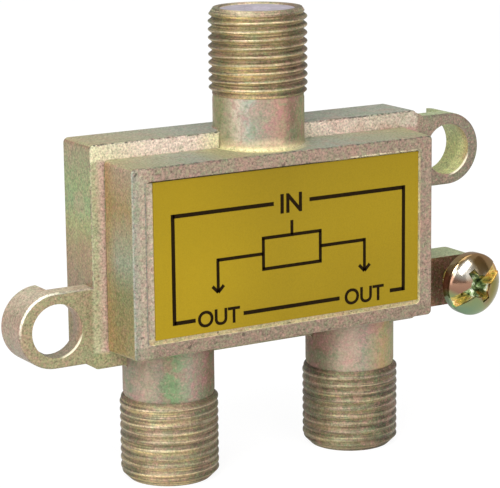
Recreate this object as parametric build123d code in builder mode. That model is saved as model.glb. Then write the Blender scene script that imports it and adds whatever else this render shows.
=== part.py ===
from build123d import *
import os
from math import cos, radians, sin

# Coaxial splitter, seen with its input port up. Millimetres.
# X runs to the right, Y runs back to the wall, Z runs up along the ports.
# The origin is the middle of the back face, which lies against the wall.

# Casting, a raised block on a wider rim
body_depth = 10.45
block_width = 33.5
block_height = 18.1
block_flare = 0.15
block_corner = 0.45
rim_step_out = 1.65
rim_step_up = 1.7
rim_depth = 5.35
rim_corner = 0.5
edge_round = 0.2
front_wall = 1.5
side_wall = 1.55
overrun = 1.0

# Ports, three eighths inch barrels with 32 threads to the inch
thread_major = 9.525
thread_pitch = 0.79375
thread_turns = 10
thread_height = 0.42
thread_crest = 0.12
thread_root = 0.15
neck_radius = 4.43
neck_length = 3.35
neck_flare = 0.4
mouth_chamfer = 0.32
port_back = 5.15
output_spacing = 20.8

# Bore of each port, in steps from the mouth inwards
plug_bore_radius = 3.6
plug_bore_depth = 10.4
tail_bore_radius = 2.2
press_gap = 0.02

# Ears and ground lug
ear_arm = 4.0
ear_drop = 4.35
ear_radius = 3.65
ear_hole_radius = 2.575
ear_hole_inset = 0.2
ear_relief = 0.18
ear_web = 1.75
ear_boss = 4.05
ear_gusset = 0.8
ear_edge = 0.28
lug_arm = 5.1
lug_rise = 3.47
lug_half_height = 2.53
lug_reach = 3.0
lug_corner = 2.0
lug_depth = 3.9

# Ground screw, backed off its lug
screw_major = 3.5
screw_pitch = 0.6
screw_thread_height = 0.32
screw_crest = 0.1
screw_root = 0.12
screw_turns = 8
screw_gap = 2.05
screw_hole_gap = 0.05
head_radius = 3.22
head_rim = 0.95
head_height = 2.2
head_edge = 0.3
slot_width = 1.25
slot_depth = 1.5
slot_angle = 30.0
cross_width = 0.95
cross_length = 3.9
cross_depth = 1.85
cross_taper = 8.0

# Label in its shallow recess
recess_border = 1.45
recess_edge = 1.3
recess_corner = 0.5
recess_depth = 0.3
label_end_gap = 0.5
label_edge_gap = 0.275
label_thickness = 0.15
label_shift = 0.35
label_rise = 0.12

# Back cover and the bead round it
cover_lap = 1.35
cover_thickness = 0.9
cover_corner = 0.6
seal_gap = 0.35
seal_depth = 0.7

# Insulators
insulator_sink = 0.15
insulator_length = 6.0
insulator_face = 2.0
entry_radius = 1.3
entry_depth = 0.6
pin_hole_radius = 0.65
contact_pocket_radius = 1.7
tail_slot_gap = 0.06

# Spring contacts, folded from strip
strip = 0.3
leaf_width = 1.6
leaf_length = 4.6
leaf_mouth = 1.3
leaf_pinch = 0.7
pinch_share = 0.3
tail_width = 1.2
tail_thickness = 0.4
tail_on_board = 1.8

# Circuit board on two end ledges
board_end_gap = 0.4
board_edge_gap = 0.6
board_thickness = 1.0
ledge_width = 1.6

# Parts on the board
ring_outer = 2.0
ring_inner = 0.95
ring_height = 1.8
ring_out = -4.0
ring_up_share = 0.14
ring_turns = 6
full_turn = 360.0
wire = 0.22
wire_gap = 0.06
binocular_width = 5.4
binocular_height = 3.4
binocular_depth = 2.8
binocular_hole_radius = 0.65
binocular_hole_out = 1.3
binocular_out = 1.3
binocular_up_share = -0.05
binocular_turns = 3
resistor_radius = 0.85
resistor_waist = 0.72
resistor_cap = 0.8
resistor_length = 3.4
resistor_edge_gap = 1.5
lead_radius = 0.22
lead_reach = 1.5
lead_bend = 0.5
lead_foot_radius = 0.7
lead_foot_height = 0.4
lead_foot_top = 0.4
disc_radius = 1.6
disc_thickness = 1.3
disc_stand = 0.5
disc_out = 6.0
disc_up_share = 0.23
disc_edge = 0.4
disc_lead_out = 1.1
chip_length = 2.0
chip_width = 1.25
chip_height = 0.6
chip_cap = 0.4
chip_cap_rise = 0.05
chip_out = -8.2
chip_up_share = 0.04
solder_radius = 1.1
solder_top_radius = 0.7
solder_height = 0.65
solder_onto_tail = 0.5

# Sizes and places that follow from the ones above
rim_width = block_width + 2 * rim_step_out
rim_height = block_height + 2 * rim_step_up
rim_front = -rim_depth
block_front = -body_depth
block_top = block_height / 2
rim_top = rim_height / 2
rim_side = rim_width / 2
port_y = -port_back
neck_end = rim_top + neck_length
thread_end = neck_end + thread_turns * thread_pitch
mouth = thread_end + mouth_chamfer
thread_radius = thread_major / 2
mouth_radius = thread_radius - mouth_chamfer
shoulder = mouth - plug_bore_depth
cavity_width = block_width - 2 * side_wall
cavity_height = block_height - 2 * side_wall
cavity_front = block_front + front_wall
cavity_top = cavity_height / 2
recess_width = block_width - 2 * recess_border
recess_height = block_height - 2 * recess_edge
label_width = recess_width - 2 * label_end_gap
label_height = recess_height - 2 * label_edge_gap
cover_width = cavity_width + 2 * cover_lap
cover_height = cavity_height + 2 * cover_lap
board_width = cavity_width - 2 * board_end_gap
board_height = cavity_height - 2 * board_edge_gap
ear_out = rim_side + ear_arm
ear_up = rim_top - ear_drop
ear_hole_out = ear_out - ear_hole_inset
lug_out = rim_side + lug_arm
lug_down = rim_top - lug_rise
recess_floor = block_front + recess_depth
cover_recess_width = cover_width + 2 * seal_gap
cover_recess_height = cover_height + 2 * seal_gap
board_back = port_y - tail_thickness / 2
board_front = board_back - board_thickness
tail_end = board_height / 2 - tail_on_board
ring_up = ring_up_share * board_height
binocular_up = binocular_up_share * board_height
resistor_up = resistor_edge_gap - board_height / 2
disc_up = disc_up_share * board_height
chip_up = chip_up_share * board_height
lug_front = rim_front
head_seat = lug_front - screw_gap
screw_length = screw_turns * screw_pitch
screw_radius = screw_major / 2

# Each port has a name, its place across the casting and the way that it points
ports = [
    ("in", 0.0, 1),
    ("out_left", -output_spacing / 2, -1),
    ("out_right", output_spacing / 2, -1),
]
sides = [-1, 1]


def port_plane(across, way):
    """Sketch plane through a port's axis: local X is radius, local Y runs out to the mouth."""
    return Plane(origin=(across, port_y, 0), x_dir=(way, 0, 0), z_dir=(0, -1, 0))


def front_plane(y):
    """Upright plane at a given depth, whose normal looks to the front."""
    return Plane.XZ.offset(-y)


def ridge_points(radius, height, crest, root, pitch, start, turns):
    """Outline of even ridges on from start: root, flank, crest and flank for each turn."""
    flank = (pitch - crest - root) / 2
    points = []
    for turn in range(turns):
        foot = start + turn * pitch + root / 2
        points.append((radius - height, foot))
        points.append((radius, foot + flank))
        points.append((radius, foot + flank + crest))
        points.append((radius - height, foot + 2 * flank + crest))
    return points


# Ears: a thin web next to the rim, and a deeper half ring round the outer side of the hole
ears = []
for side in sides:
    with BuildPart() as ear:
        ear_foot = rim_side - 2 * edge_round
        with BuildSketch(front_plane(rim_front + ear_web)):
            with Locations((side * ear_out, side * ear_up)):
                Circle(ear_radius)
            with Locations((side * (ear_out + ear_foot) / 2, side * ear_up)):
                Rectangle(ear_out - ear_foot, 2 * ear_radius)
        extrude(amount=ear_web)
        with BuildSketch(front_plane(rim_front + ear_boss)):
            with Locations((side * ear_out, side * ear_up)):
                Circle(ear_radius)
            with Locations((side * (ear_out - ear_radius / 2), side * ear_up)):
                Rectangle(ear_radius, 2 * ear_radius, mode=Mode.SUBTRACT)
        extrude(amount=ear_boss)
        front_outline = ear.edges().group_by(Axis.Y)[0]
        fillet([edge for edge in front_outline if abs(edge.center().X) > rim_side], ear_edge)
    ears.append(ear.part)

# Housing: rim, block, ears, lug and three port barrels in one casting
ridges = ridge_points(
    thread_radius, thread_height, thread_crest, thread_root, thread_pitch, neck_end, thread_turns
)

with BuildPart() as housing:
    with BuildSketch(Plane.XZ):
        RectangleRounded(rim_width, rim_height, rim_corner)
    extrude(amount=rim_depth)
    with BuildSketch(front_plane(rim_front)):
        RectangleRounded(
            block_width + 2 * block_flare, block_height + 2 * block_flare, block_corner
        )
    with BuildSketch(front_plane(block_front)):
        RectangleRounded(block_width, block_height, block_corner)
    loft()
    front_edges = housing.edges().group_by(Axis.Y)[0]
    fillet(front_edges, edge_round)
    step_edges = [
        edge
        for edge in housing.edges().filter_by_position(
            Axis.Y, rim_front - press_gap, rim_front + press_gap
        )
        if abs(edge.center().X) > rim_side - edge_round or abs(edge.center().Z) > rim_top - edge_round
    ]
    fillet(step_edges, edge_round)

    # Ears, each with a gusset up to the rim's corner
    add(ears)
    for side in sides:
        with BuildSketch(front_plane(rim_front + ear_web)):
            with BuildLine():
                Polyline(
                    (side * (rim_side - edge_round), side * (rim_top - edge_round)),
                    (side * (rim_side + ear_gusset), side * (ear_up + ear_radius)),
                    (side * (rim_side + ear_gusset), side * (ear_up + ear_radius - ear_edge)),
                    (side * (rim_side - edge_round), side * (ear_up + ear_radius - ear_edge)),
                    close=True,
                )
            make_face()
        extrude(amount=ear_web)

    # Ground lug, level with the ears' front and back
    with BuildSketch(front_plane(lug_front + lug_depth)) as lug_outline:
        lug_inner = rim_side - edge_round
        lug_outer = lug_out + lug_reach
        with Locations(((lug_inner + lug_outer) / 2, -lug_down)):
            Rectangle(lug_outer - lug_inner, 2 * lug_half_height)
        fillet(lug_outline.vertices().group_by(Axis.X)[-1], lug_corner)
    extrude(amount=lug_depth)

    # Port barrels: neck, then the threaded part, with a flared foot on the block and on the rim
    for name, across, way in ports:
        with BuildSketch(port_plane(across, way)):
            with BuildLine():
                Polyline(
                    (0, 0),
                    (neck_radius, 0),
                    (neck_radius, neck_end - thread_height),
                    *ridges,
                    (mouth_radius, thread_end),
                    (mouth_radius - mouth_chamfer, mouth),
                    (0, mouth),
                    close=True,
                )
            make_face()
        port_axis = Axis((across, port_y, 0), (0, 0, way))
        revolve(axis=port_axis)
        for base, arc in ((block_top, full_turn), (rim_top, full_turn / 2)):
            with BuildSketch(port_plane(across, way)):
                with BuildLine():
                    Polyline(
                        (neck_radius, base + neck_flare),
                        (neck_radius - press_gap, base + neck_flare),
                        (neck_radius - press_gap, base - press_gap),
                        (neck_radius + neck_flare, base - press_gap),
                        (neck_radius + neck_flare, base),
                    )
                    RadiusArc(
                        (neck_radius + neck_flare, base), (neck_radius, base + neck_flare), neck_flare
                    )
                make_face()
            revolve(axis=port_axis, revolution_arc=arc)

    # Holes of the ears and of the lug
    for side in sides:
        with Locations(front_plane(rim_front).location * Location((side * ear_hole_out, side * ear_up, 0))):
            Hole(ear_hole_radius)
        with BuildSketch(front_plane(rim_front + ear_web)):
            with Locations((side * ear_hole_out, side * ear_up)):
                Circle(ear_hole_radius + ear_relief)
        extrude(amount=ear_web - rim_depth, mode=Mode.SUBTRACT)
    with Locations(front_plane(lug_front).location * Location((lug_out, -lug_down, 0))):
        Hole(screw_radius + screw_hole_gap)

    # Hollow, cover recess and label recess
    with BuildSketch(Plane.XZ):
        RectangleRounded(cover_recess_width, cover_recess_height, cover_corner)
    extrude(amount=cover_thickness, mode=Mode.SUBTRACT)
    with BuildSketch(Plane.XZ):
        RectangleRounded(cavity_width, cavity_height, cover_corner)
    extrude(amount=-cavity_front, mode=Mode.SUBTRACT)
    with BuildSketch(front_plane(block_front)):
        RectangleRounded(recess_width, recess_height, recess_corner)
    extrude(amount=-recess_depth, mode=Mode.SUBTRACT)

    # Ledges for the ends of the board
    for side in sides:
        with BuildSketch(front_plane(board_front)):
            with Locations((side * (cavity_width - ledge_width) / 2, 0)):
                Rectangle(ledge_width, cavity_height)
        extrude(amount=board_front - cavity_front)

    # Stepped bore of each port
    for name, across, way in ports:
        with BuildSketch(port_plane(across, way)):
            with BuildLine():
                Polyline(
                    (0, cavity_top - overrun),
                    (tail_bore_radius, cavity_top - overrun),
                    (tail_bore_radius, shoulder),
                    (plug_bore_radius, shoulder),
                    (plug_bore_radius, mouth + overrun),
                    (0, mouth + overrun),
                    close=True,
                )
            make_face()
        revolve(axis=Axis((across, port_y, 0), (0, 0, way)), mode=Mode.SUBTRACT)

housing.part.label = "housing"

# Label plate
with BuildPart() as label:
    with BuildSketch(front_plane(recess_floor)):
        with Locations((label_shift, label_rise)):
            Rectangle(label_width, label_height)
    extrude(amount=label_thickness)
label.part.label = "label"

# Back cover, flush with the casting's back
with BuildPart() as rear_cover:
    with BuildSketch(Plane.XZ):
        RectangleRounded(cover_width, cover_height, cover_corner)
    extrude(amount=cover_thickness)
rear_cover.part.label = "rear_cover"

# Bead in the groove round the cover
with BuildPart() as cover_seal:
    with BuildSketch(front_plane(seal_depth - cover_thickness)):
        RectangleRounded(
            cover_recess_width - 2 * press_gap, cover_recess_height - 2 * press_gap, cover_corner
        )
        RectangleRounded(
            cover_width + 2 * press_gap,
            cover_height + 2 * press_gap,
            cover_corner,
            mode=Mode.SUBTRACT,
        )
    extrude(amount=seal_depth)
cover_seal.part.label = "cover_seal"

# Ground screw: ridged shank, pan head with a full slot and a short cross arm
screw_ridges = ridge_points(
    screw_radius, screw_thread_height, screw_crest, screw_root, screw_pitch, 0, screw_turns
)
screw_core = screw_radius - screw_thread_height
dome_rise = head_height - head_rim
dome_radius = (head_radius**2 + dome_rise**2) / (2 * dome_rise)
with BuildPart() as ground_screw:
    with BuildSketch(Plane(origin=(lug_out, head_seat, -lug_down), x_dir=(1, 0, 0), z_dir=(0, 0, 1))):
        with BuildLine():
            Polyline(
                (0, -head_height),
                (0, screw_length),
                (screw_core, screw_length),
                *reversed(screw_ridges),
                (screw_core, 0),
                (head_radius, 0),
                (head_radius, -head_rim),
            )
            RadiusArc((head_radius, -head_rim), (0, -head_height), dome_radius)
        make_face()
    revolve(axis=Axis((lug_out, head_seat, -lug_down), (0, 1, 0)))
    head_edges = ground_screw.edges().filter_by_position(
        Axis.Y, head_seat - head_rim - press_gap, head_seat - head_rim + press_gap
    )
    fillet(head_edges, head_edge)
    head_top = head_seat - head_height
    with BuildSketch(front_plane(head_top)):
        with Locations(Location((lug_out, -lug_down, 0), (0, 0, slot_angle))):
            Rectangle(2 * head_radius + overrun, slot_width)
    extrude(amount=-slot_depth, mode=Mode.SUBTRACT)
    with BuildSketch(front_plane(head_top)):
        with Locations(Location((lug_out, -lug_down, 0), (0, 0, slot_angle))):
            Rectangle(cross_width, cross_length)
            Rectangle(cross_length, cross_width)
    extrude(amount=-cross_depth, mode=Mode.SUBTRACT, taper=cross_taper)
ground_screw.part.label = "ground_screw"

# Mouth insulators: a plug with a funnel and a pin hole, hollow behind for the contact
insulator_top = mouth - insulator_sink
insulator_foot = insulator_top - insulator_length
insulator_radius = plug_bore_radius - press_gap
insulators = {}
for name, across, way in ports:
    with BuildPart() as plug:
        with BuildSketch(port_plane(across, way)):
            with BuildLine():
                Polyline(
                    (contact_pocket_radius, insulator_foot),
                    (insulator_radius, insulator_foot),
                    (insulator_radius, insulator_top),
                    (entry_radius, insulator_top),
                    (pin_hole_radius, insulator_top - entry_depth),
                    (pin_hole_radius, insulator_top - insulator_face),
                    (contact_pocket_radius, insulator_top - insulator_face),
                    close=True,
                )
            make_face()
        revolve(axis=Axis((across, port_y, 0), (0, 0, way)))
    plug.part.label = name + "_insulator"
    insulators[name] = plug.part

# Spring contacts: two pinching leaves on a bridge, and a tail that runs down onto the board
leaf_end = insulator_top - insulator_face - press_gap
leaf_foot = leaf_end - leaf_length
pinch_at = leaf_end - pinch_share * leaf_length
contacts = {}
for name, across, way in ports:
    with BuildPart() as contact:
        side_view = Plane(origin=(across, port_y, 0), x_dir=(0, 1, 0), z_dir=(way, 0, 0))
        with BuildSketch(side_view):
            for hand in (1, -1):
                with BuildLine():
                    Polyline(
                        (0, leaf_foot),
                        (hand * (leaf_mouth / 2 + strip), leaf_foot),
                        (hand * (leaf_pinch / 2 + strip), pinch_at),
                        (hand * (leaf_mouth / 2 + strip), leaf_end),
                        (hand * leaf_mouth / 2, leaf_end),
                        (hand * leaf_pinch / 2, pinch_at),
                        (hand * leaf_mouth / 2, leaf_foot + strip),
                        (0, leaf_foot + strip),
                        close=True,
                    )
                make_face()
        extrude(amount=leaf_width / 2, both=True)
        with BuildSketch(side_view):
            with Locations((0, (leaf_foot + tail_end) / 2)):
                Rectangle(tail_thickness, leaf_foot - tail_end)
        extrude(amount=tail_width / 2, both=True)
    contact.part.label = name + "_contact"
    contacts[name] = contact.part

# Rear insulators: discs on the bore's shoulder, slotted for the tail
rear_insulators = {}
for name, across, way in ports:
    with BuildPart() as support:
        with BuildSketch(Plane(origin=(across, port_y, way * shoulder), z_dir=(0, 0, way))):
            Circle(insulator_radius)
            Rectangle(
                tail_width + 2 * tail_slot_gap,
                tail_thickness + 2 * tail_slot_gap,
                mode=Mode.SUBTRACT,
            )
        extrude(amount=insulator_foot - shoulder)
        with BuildSketch(Plane(origin=(across, port_y, way * leaf_foot), z_dir=(0, 0, way))):
            Circle(contact_pocket_radius)
        extrude(amount=insulator_foot - leaf_foot, mode=Mode.SUBTRACT)
    support.part.label = name + "_rear_insulator"
    rear_insulators[name] = support.part

# Circuit board, which rests on the two end ledges
with BuildPart() as circuit_board:
    with BuildSketch(front_plane(board_back)):
        RectangleRounded(board_width, board_height, cover_corner)
    extrude(amount=board_thickness)
circuit_board.part.label = "circuit_board"

# Matching transformer: a small ferrite ring that lies on its turns
ring_foot = board_back + wire + 2 * wire_gap
with BuildPart() as matching_core:
    with BuildSketch(front_plane(ring_foot)):
        with Locations((ring_out, ring_up)):
            Circle(ring_outer)
            Circle(ring_inner, mode=Mode.SUBTRACT)
    extrude(amount=-ring_height)
    fillet(matching_core.edges().filter_by(GeomType.CIRCLE), edge_round)
matching_core.part.label = "matching_core"

# Its winding: a flat loop round the ring's section for each turn, linked along the rim
ring_middle = (ring_outer + ring_inner) / 2
ring_section = ring_outer - ring_inner
ring_centre = (ring_out, ring_foot + ring_height / 2, ring_up)
with BuildPart() as matching_winding:
    for turn in range(ring_turns):
        angle = radians(turn * full_turn / ring_turns)
        section_plane = Plane(
            origin=ring_centre,
            x_dir=(cos(angle), 0, sin(angle)),
            z_dir=(-sin(angle), 0, cos(angle)),
        )
        with BuildSketch(section_plane):
            with Locations((ring_middle, 0)):
                Rectangle(
                    ring_section + 2 * (wire_gap + wire), ring_height + 2 * (wire_gap + wire)
                )
                Rectangle(
                    ring_section + 2 * wire_gap, ring_height + 2 * wire_gap, mode=Mode.SUBTRACT
                )
        extrude(amount=wire / 2, both=True)
    with BuildSketch(Plane(origin=ring_centre, x_dir=(1, 0, 0), z_dir=(0, 0, 1))):
        with Locations((ring_outer + wire_gap + wire / 2, 0)):
            Rectangle(wire, wire)
    revolve(
        axis=Axis(ring_centre, (0, 1, 0)),
        revolution_arc=full_turn * (ring_turns - 1) / ring_turns,
    )
matching_winding.part.label = "matching_winding"

# Splitting transformer: a ferrite block with two holes along the ports' direction
with BuildPart() as splitting_core:
    with BuildSketch(Plane(origin=(binocular_out, board_back + binocular_depth / 2, binocular_up))):
        RectangleRounded(binocular_width, binocular_depth, edge_round)
        with Locations((binocular_hole_out, 0), (-binocular_hole_out, 0)):
            Circle(binocular_hole_radius, mode=Mode.SUBTRACT)
    extrude(amount=binocular_height / 2, both=True)
splitting_core.part.label = "splitting_core"

# Its winding: flat loops through both holes, a cross link, and two legs down to the board
loop_step = wire + 2 * wire_gap
loop_middle = board_back + binocular_depth / 2
loop_top = binocular_up + binocular_height / 2 + wire_gap + wire / 2
with BuildPart() as splitting_winding:
    for turn in range(binocular_turns):
        loop_back = loop_middle + (turn - (binocular_turns - 1) / 2) * loop_step + wire / 2
        with BuildSketch(front_plane(loop_back)):
            with Locations((binocular_out, binocular_up)):
                Rectangle(
                    2 * binocular_hole_out + wire, binocular_height + 2 * (wire_gap + wire)
                )
                Rectangle(
                    2 * binocular_hole_out - wire,
                    binocular_height + 2 * wire_gap,
                    mode=Mode.SUBTRACT,
                )
        extrude(amount=wire)
    with BuildSketch(front_plane(loop_middle)):
        with Locations((binocular_out, loop_top)):
            Rectangle(wire, wire)
    extrude(amount=(binocular_turns - 1) / 2 * loop_step, both=True)
    with BuildSketch(front_plane(board_back)):
        for side in sides:
            with Locations((binocular_out + side * binocular_hole_out, loop_top)):
                Rectangle(wire, wire)
    extrude(amount=board_back - loop_middle)
splitting_winding.part.label = "splitting_winding"

# Isolation resistor across the two outputs, with capped ends and bent leads
resistor_axis = board_back + resistor_radius
resistor_end = resistor_length / 2
lead_out = resistor_end + lead_reach
with BuildPart() as isolation_resistor:
    with BuildSketch(Plane(origin=(0, resistor_axis, resistor_up))):
        with BuildLine():
            Polyline(
                (-resistor_end, 0),
                (-resistor_end, resistor_radius),
                (resistor_cap - resistor_end, resistor_radius),
                (resistor_cap - resistor_end, resistor_waist),
                (resistor_end - resistor_cap, resistor_waist),
                (resistor_end - resistor_cap, resistor_radius),
                (resistor_end, resistor_radius),
                (resistor_end, 0),
                close=True,
            )
        make_face()
    revolve(axis=Axis((0, resistor_axis, resistor_up), (1, 0, 0)))
    for side in sides:
        with BuildLine() as lead_path:
            FilletPolyline(
                (side * (resistor_end - resistor_cap), resistor_axis, resistor_up),
                (side * lead_out, resistor_axis, resistor_up),
                (side * lead_out, board_back, resistor_up),
                radius=lead_bend,
            )
        with BuildSketch(lead_path.line ^ 0):
            Circle(lead_radius)
        sweep(path=lead_path.line)
        with Locations(Plane(origin=(side * lead_out, board_back, resistor_up), z_dir=(0, 1, 0))):
            Cone(
                lead_foot_radius,
                lead_foot_top,
                lead_foot_height,
                align=(Align.CENTER, Align.CENTER, Align.MIN),
            )
isolation_resistor.part.label = "isolation_resistor"

# Input capacitor: a disc that stands on two leads
with BuildPart() as input_capacitor:
    disc_middle = board_back + disc_stand + disc_radius
    with BuildSketch(Plane(origin=(disc_out, disc_middle, disc_up))):
        Circle(disc_radius)
    extrude(amount=disc_thickness / 2, both=True)
    fillet(input_capacitor.edges().filter_by(GeomType.CIRCLE), disc_edge)
    for side in sides:
        foot = Plane(origin=(disc_out + side * disc_lead_out, board_back, disc_up), z_dir=(0, 1, 0))
        with BuildSketch(foot):
            Circle(lead_radius)
        extrude(amount=disc_stand + disc_radius)
        with Locations(foot):
            Cone(
                lead_foot_radius,
                lead_foot_top,
                lead_foot_height,
                align=(Align.CENTER, Align.CENTER, Align.MIN),
            )
input_capacitor.part.label = "input_capacitor"

# Trim capacitor: a small chip with raised end caps
with BuildPart() as trim_capacitor:
    with BuildSketch(front_plane(board_back)):
        with Locations((chip_out, chip_up)):
            Rectangle(chip_length, chip_width)
    extrude(amount=-chip_height)
    with BuildSketch(front_plane(board_back)):
        for side in sides:
            with Locations((chip_out + side * (chip_length - chip_cap) / 2, chip_up)):
                Rectangle(chip_cap, chip_width + 2 * chip_cap_rise)
    extrude(amount=-chip_height - chip_cap_rise)
trim_capacitor.part.label = "trim_capacitor"

# Solder mounds that hold the contacts' tails to the board
solders = {}
for name, across, way in ports:
    pad = (across, board_back, way * (tail_end + solder_onto_tail))
    with BuildPart() as solder:
        with Locations(Plane(origin=pad, z_dir=(0, 1, 0))):
            Cone(
                solder_radius,
                solder_top_radius,
                solder_height,
                align=(Align.CENTER, Align.CENTER, Align.MIN),
            )
        with BuildSketch(Plane(origin=(across, port_y, way * tail_end), z_dir=(0, 0, way))):
            Rectangle(tail_width + 2 * press_gap, tail_thickness + 2 * press_gap)
        extrude(amount=2 * solder_radius, mode=Mode.SUBTRACT)
    solder.part.label = name + "_solder"
    solders[name] = solder.part

# One file for each piece, named after its label
pieces = [
    housing.part,
    label.part,
    rear_cover.part,
    cover_seal.part,
    ground_screw.part,
    circuit_board.part,
    matching_core.part,
    matching_winding.part,
    splitting_core.part,
    splitting_winding.part,
    isolation_resistor.part,
    input_capacitor.part,
    trim_capacitor.part,
    *insulators.values(),
    *rear_insulators.values(),
    *contacts.values(),
    *solders.values(),
]
os.makedirs("parts", exist_ok=True)
for piece in pieces:
    export_step(piece, "parts/" + piece.label + ".step")
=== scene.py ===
import bpy
import bmesh
from math import atan2, cos, hypot, pi, radians, sin
from mathutils import Matrix, Vector


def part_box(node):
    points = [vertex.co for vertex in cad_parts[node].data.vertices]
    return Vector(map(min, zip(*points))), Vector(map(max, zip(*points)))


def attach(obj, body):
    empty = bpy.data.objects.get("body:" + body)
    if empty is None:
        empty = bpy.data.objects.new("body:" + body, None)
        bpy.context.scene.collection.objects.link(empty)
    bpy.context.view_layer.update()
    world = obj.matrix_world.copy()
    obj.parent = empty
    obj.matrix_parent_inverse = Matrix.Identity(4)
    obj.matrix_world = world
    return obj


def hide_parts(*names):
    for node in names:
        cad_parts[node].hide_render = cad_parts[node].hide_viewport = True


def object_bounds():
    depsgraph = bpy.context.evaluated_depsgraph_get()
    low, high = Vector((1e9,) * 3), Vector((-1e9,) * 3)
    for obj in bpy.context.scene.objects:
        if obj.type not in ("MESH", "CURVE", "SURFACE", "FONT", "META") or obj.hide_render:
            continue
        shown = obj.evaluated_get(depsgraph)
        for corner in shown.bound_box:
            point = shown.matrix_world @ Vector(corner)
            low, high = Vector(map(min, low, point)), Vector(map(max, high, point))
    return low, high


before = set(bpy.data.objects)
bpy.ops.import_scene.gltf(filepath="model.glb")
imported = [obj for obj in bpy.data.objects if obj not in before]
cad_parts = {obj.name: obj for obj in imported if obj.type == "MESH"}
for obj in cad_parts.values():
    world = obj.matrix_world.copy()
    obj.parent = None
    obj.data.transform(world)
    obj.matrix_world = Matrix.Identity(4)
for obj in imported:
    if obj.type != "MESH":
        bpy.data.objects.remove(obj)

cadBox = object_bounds()
mm = 0.001
mouthHeight = cadBox[1][2]
bodyNames = {"fixed": "body", "screw": "screw"}
ports = {"in": 1, "out_left": -1, "out_right": -1}  # port name and the way it points along Z


# Small mesh helpers

def newPiece(name, bm, materials, body):
    mesh = bpy.data.meshes.new(name)
    bm.to_mesh(mesh)
    bm.free()
    if "custom_normal" in mesh.attributes:
        mesh.attributes.remove(mesh.attributes["custom_normal"])
    piece = bpy.data.objects.new(name, mesh)
    bpy.context.scene.collection.objects.link(piece)
    for material in materials:
        mesh.materials.append(material)
    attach(piece, body)
    return piece


def smoothByAngle(piece, degrees=32):
    piece.data.shade_smooth()
    piece.data.set_sharp_from_angle(angle=radians(degrees))
    weighted = piece.modifiers.new("Weighted normals", "WEIGHTED_NORMAL")
    weighted.keep_sharp = True


def mergedMesh(node):
    bm = bmesh.new()
    bm.from_mesh(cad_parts[node].data)
    bmesh.ops.remove_doubles(bm, verts=bm.verts, dist=0.0005 * mm)
    return bm


def cut(bm, place, normal):
    everything = bm.verts[:] + bm.edges[:] + bm.faces[:]
    bmesh.ops.bisect_plane(bm, geom=everything, plane_co=place, plane_no=normal, clear_outer=True)


def openEdges(bm):
    return [edge for edge in bm.edges if edge.is_boundary]


def dressNode(node, name, material, body="body"):
    bm = mergedMesh(node)
    piece = newPiece(name, bm, [material], body)
    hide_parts(node)
    smoothByAngle(piece)
    return piece


# Node tree helpers

def colour(red, green, blue):
    values = []
    for part in (red, green, blue):
        share = part / 255
        values.append(share / 12.92 if share <= 0.04045 else ((share + 0.055) / 1.055) ** 2.4)
    return (*values, 1.0)


def newMaterial(name):
    material = bpy.data.materials.new(name)
    material.use_nodes = True
    tree = material.node_tree
    tree.nodes.clear()
    output = tree.nodes.new("ShaderNodeOutputMaterial")
    shader = tree.nodes.new("ShaderNodeBsdfPrincipled")
    tree.links.new(shader.outputs["BSDF"], output.inputs["Surface"])
    return material, tree, shader


def objectPlace(tree, scale=(1000, 1000, 1000), turn=(0, 0, 0), shift=(0, 0, 0)):
    place = tree.nodes.new("ShaderNodeTexCoord")
    mapping = tree.nodes.new("ShaderNodeMapping")
    mapping.inputs["Scale"].default_value = scale
    mapping.inputs["Rotation"].default_value = turn
    mapping.inputs["Location"].default_value = shift
    tree.links.new(place.outputs["Object"], mapping.inputs["Vector"])
    return mapping.outputs["Vector"]


def noise(tree, vector, scale, detail=3.0, rough=0.55, distort=0.0):
    node = tree.nodes.new("ShaderNodeTexNoise")
    node.inputs["Scale"].default_value = scale
    node.inputs["Detail"].default_value = detail
    node.inputs["Roughness"].default_value = rough
    node.inputs["Distortion"].default_value = distort
    tree.links.new(vector, node.inputs["Vector"])
    return node.outputs["Fac"]


def ramp(tree, factor, stops):
    node = tree.nodes.new("ShaderNodeValToRGB")
    band = node.color_ramp
    while len(band.elements) < len(stops):
        band.elements.new(0.5)
    for element, (position, value) in zip(band.elements, stops):
        element.position = position
        element.color = value
    tree.links.new(factor, node.inputs["Fac"])
    return node.outputs["Color"]


def spread(tree, value, fromLow, fromHigh, toLow=0.0, toHigh=1.0):
    node = tree.nodes.new("ShaderNodeMapRange")
    node.inputs["From Min"].default_value = fromLow
    node.inputs["From Max"].default_value = fromHigh
    node.inputs["To Min"].default_value = toLow
    node.inputs["To Max"].default_value = toHigh
    tree.links.new(value, node.inputs["Value"])
    return node.outputs["Result"]


def mixColour(tree, factor, first, second, blend="MIX"):
    node = tree.nodes.new("ShaderNodeMix")
    node.data_type = "RGBA"
    node.blend_type = blend
    sockets = {"Factor": factor, "A": first, "B": second}
    for socket in node.inputs:
        usable = socket.type == "RGBA" or (socket.name == "Factor" and socket.type == "VALUE")
        if not usable or socket.name not in sockets:
            continue
        value = sockets.pop(socket.name)
        if isinstance(value, bpy.types.NodeSocket):
            tree.links.new(value, socket)
        else:
            socket.default_value = value
    return [socket for socket in node.outputs if socket.type == "RGBA"][0]


def calculate(tree, operation, first, second=None):
    node = tree.nodes.new("ShaderNodeMath")
    node.operation = operation
    for index, value in enumerate((first, second)):
        if isinstance(value, bpy.types.NodeSocket):
            tree.links.new(value, node.inputs[index])
        elif value is not None:
            node.inputs[index].default_value = value
    return node.outputs["Value"]


def bumpFrom(tree, shader, heights, distance):
    height = heights[0]
    for other in heights[1:]:
        height = calculate(tree, "ADD", height, other)
    node = tree.nodes.new("ShaderNodeBump")
    node.inputs["Strength"].default_value = 1.0
    node.inputs["Distance"].default_value = distance
    tree.links.new(height, node.inputs["Height"])
    tree.links.new(node.outputs["Normal"], shader.inputs["Normal"])


# Yellow chromate on the zinc casting: each face has its own drift of colour, in mm along it, and its own painted light
# and shade

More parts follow.
